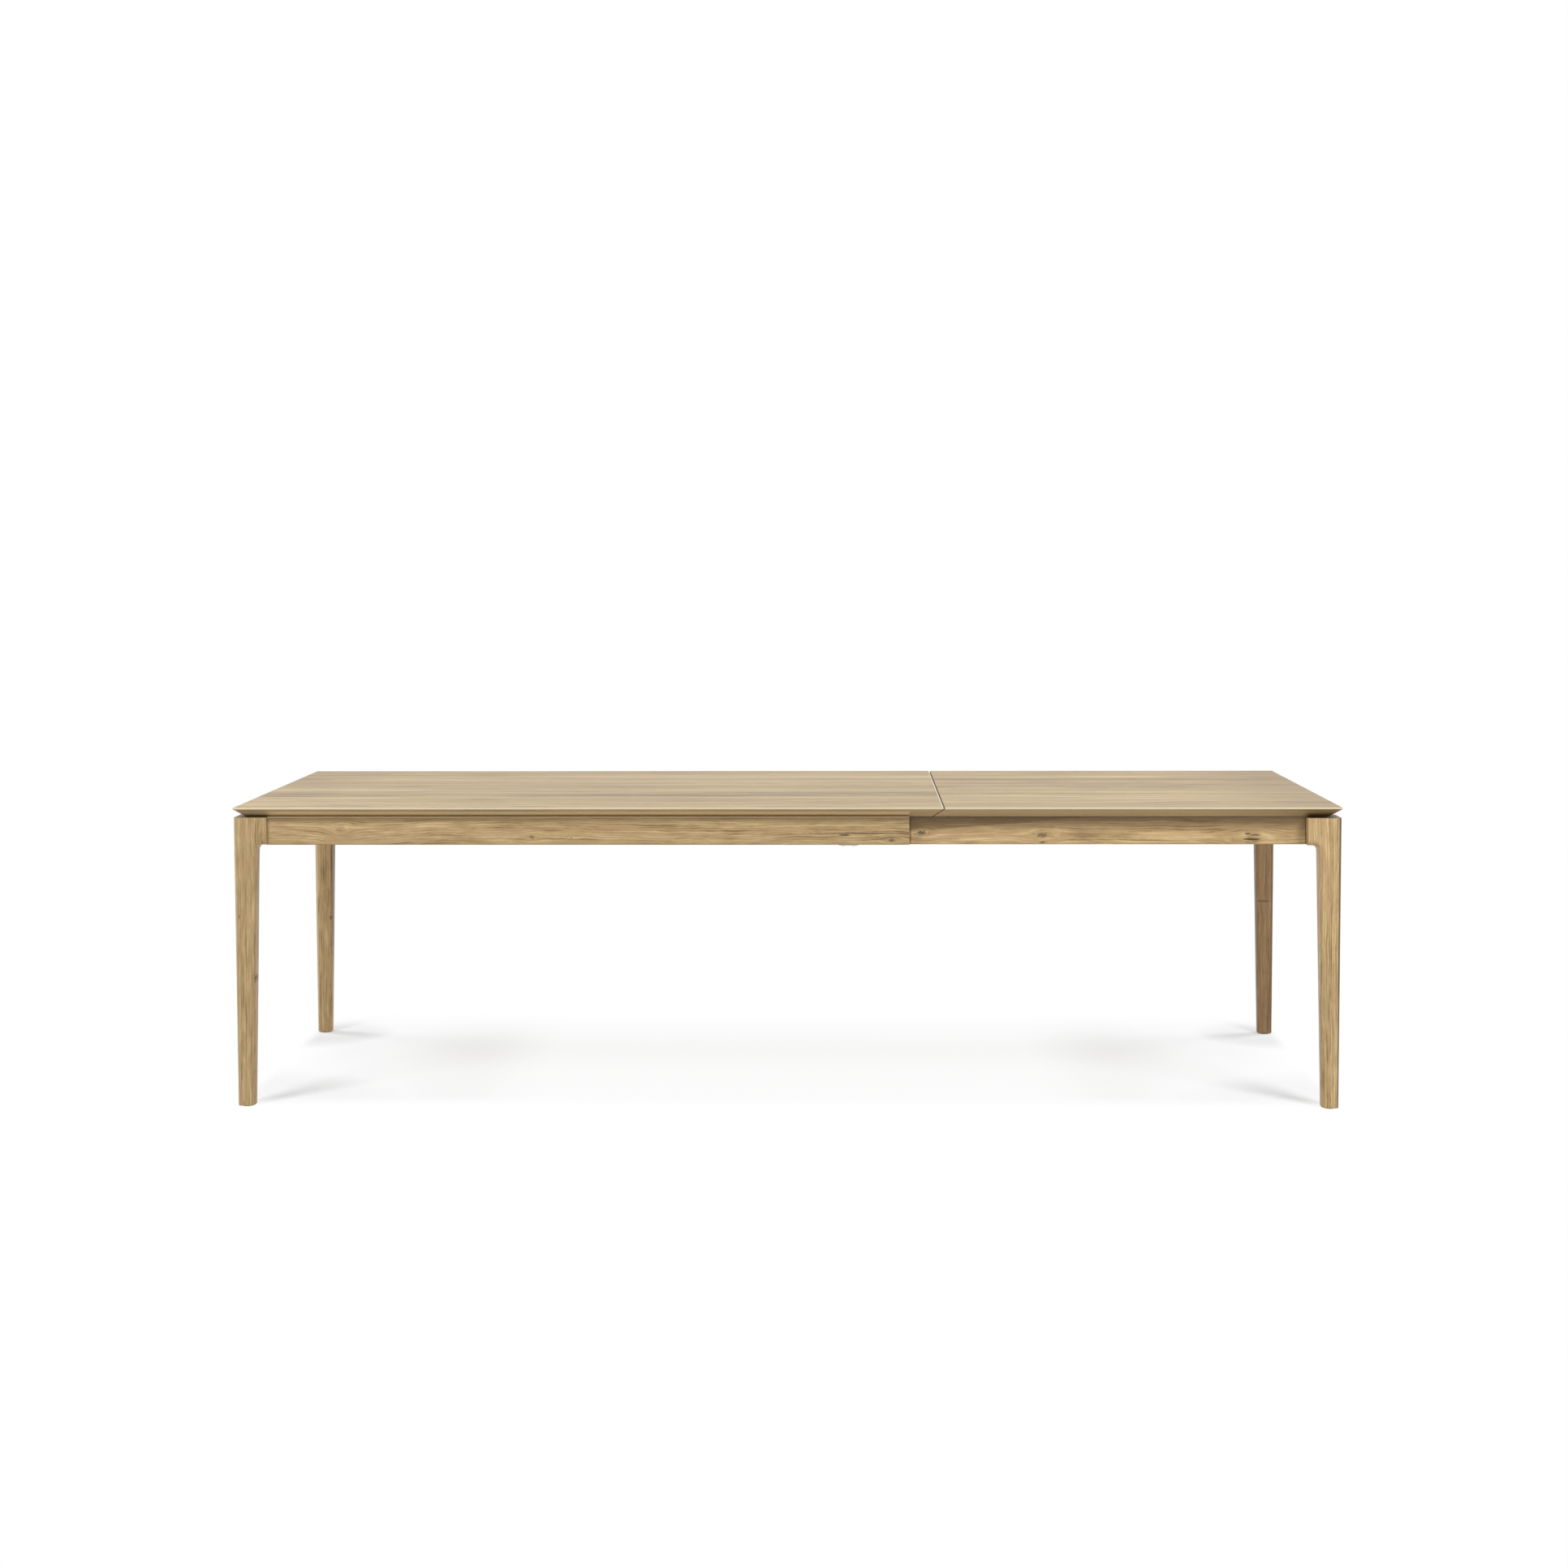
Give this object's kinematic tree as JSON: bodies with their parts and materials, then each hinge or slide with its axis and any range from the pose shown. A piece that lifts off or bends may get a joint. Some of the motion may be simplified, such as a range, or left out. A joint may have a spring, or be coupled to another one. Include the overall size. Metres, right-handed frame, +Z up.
{
  "type": "extendable dining table",
  "caption": "Long oak dining table with bevelled panels and tapered legs; one end frame draws out on rollers to carry a loose leaf locked to the main top.",
  "frame": {"origin": "on the floor under the middle of the drawn-out table", "axes": "+X along the table towards the leaf, -Y is the side nearest the picture's camera, +Z up"},
  "size_m": [2.8, 1, 0.76],
  "materials": {
    "oak_top": "oiled, satin",
    "oak_frame": "oiled, satin",
    "steel": "zinc plated",
    "aluminium": "mill finish",
    "nylon": "matt",
    "felt": "felt"
  },
  "bodies": {
    "main_frame": {"main_top": "oak_top", "leg_front_left": "oak_frame", "leg_back_left": "oak_frame", "end_apron_left": "oak_frame", "side_apron_front": "oak_frame", "side_apron_back": "oak_frame", "guide_rail_front": "aluminium", "guide_rail_back": "aluminium", "keeper_front": "steel", "keeper_back": "steel", "corner_brace_front_left": "oak_frame", "corner_brace_back_left": "oak_frame", "leg_bolts_left": "steel", "leg_nuts_left": "steel", "glides_left": "felt", "main_top_stiffeners": "steel", "rail_stops": "nylon", "top_brackets": "steel", "lock_pivots": "steel"},
    "extension_frame": {"leg_front_right": "oak_frame", "leg_back_right": "oak_frame", "end_apron_right": "oak_frame", "slide_apron_front": "oak_frame", "slide_apron_back": "oak_frame", "corner_brace_front_right": "oak_frame", "corner_brace_back_right": "oak_frame", "leg_bolts_right": "steel", "leg_nuts_right": "steel", "glides_right": "felt", "slide_cross_rail": "oak_frame", "roller_axles": "steel", "leaf_pads": "felt"},
    "roller_front_1": {"roller_front_1": "nylon"},
    "roller_front_2": {"roller_front_2": "nylon"},
    "roller_back_1": {"roller_back_1": "nylon"},
    "roller_back_2": {"roller_back_2": "nylon"},
    "leaf": {"leaf_panel": "oak_top", "leaf_stiffeners": "steel", "leaf_tongues": "steel"},
    "lock_front": {"lock_lever_front": "steel"},
    "lock_back": {"lock_lever_back": "steel"}
  },
  "joints": [
    {"name": "extension_slide", "type": "slide", "parent": "main_frame", "child": "extension_frame", "axis": [1, 0, 0], "range_m": [-1, 0]},
    {"name": "leaf_draw_off", "type": "slide", "parent": "main_frame", "child": "leaf", "axis": [1, 0, 0], "range_m": [0, 1.1]},
    {"name": "lock_front_turn", "type": "hinge", "parent": "main_frame", "child": "lock_front", "pos_m": [0.3183, -0.266, 0.7378], "axis": [0, 0, 1], "range_deg": [0, 90]},
    {"name": "lock_back_turn", "type": "hinge", "parent": "main_frame", "child": "lock_back", "pos_m": [0.3183, 0.266, 0.7378], "axis": [0, 0, 1], "range_deg": [-90, 0]},
    {"name": "roller_front_1_spin", "type": "hinge", "parent": "extension_frame", "child": "roller_front_1", "pos_m": [-0.058, -0.4692, 0.699], "axis": [0, 1, 0], "continuous": true},
    {"name": "roller_front_2_spin", "type": "hinge", "parent": "extension_frame", "child": "roller_front_2", "pos_m": [0.289, -0.4692, 0.699], "axis": [0, 1, 0], "continuous": true},
    {"name": "roller_back_1_spin", "type": "hinge", "parent": "extension_frame", "child": "roller_back_1", "pos_m": [-0.058, 0.4692, 0.699], "axis": [0, 1, 0], "continuous": true},
    {"name": "roller_back_2_spin", "type": "hinge", "parent": "extension_frame", "child": "roller_back_2", "pos_m": [0.289, 0.4692, 0.699], "axis": [0, 1, 0], "continuous": true}
  ],
  "couplings": [
    {"joint": "roller_front_1_spin", "follows": "extension_slide", "rad_per_m": 101.01},
    {"joint": "roller_front_2_spin", "follows": "extension_slide", "rad_per_m": 101.01},
    {"joint": "roller_back_1_spin", "follows": "extension_slide", "rad_per_m": 101.01},
    {"joint": "roller_back_2_spin", "follows": "extension_slide", "rad_per_m": 101.01}
  ]
}
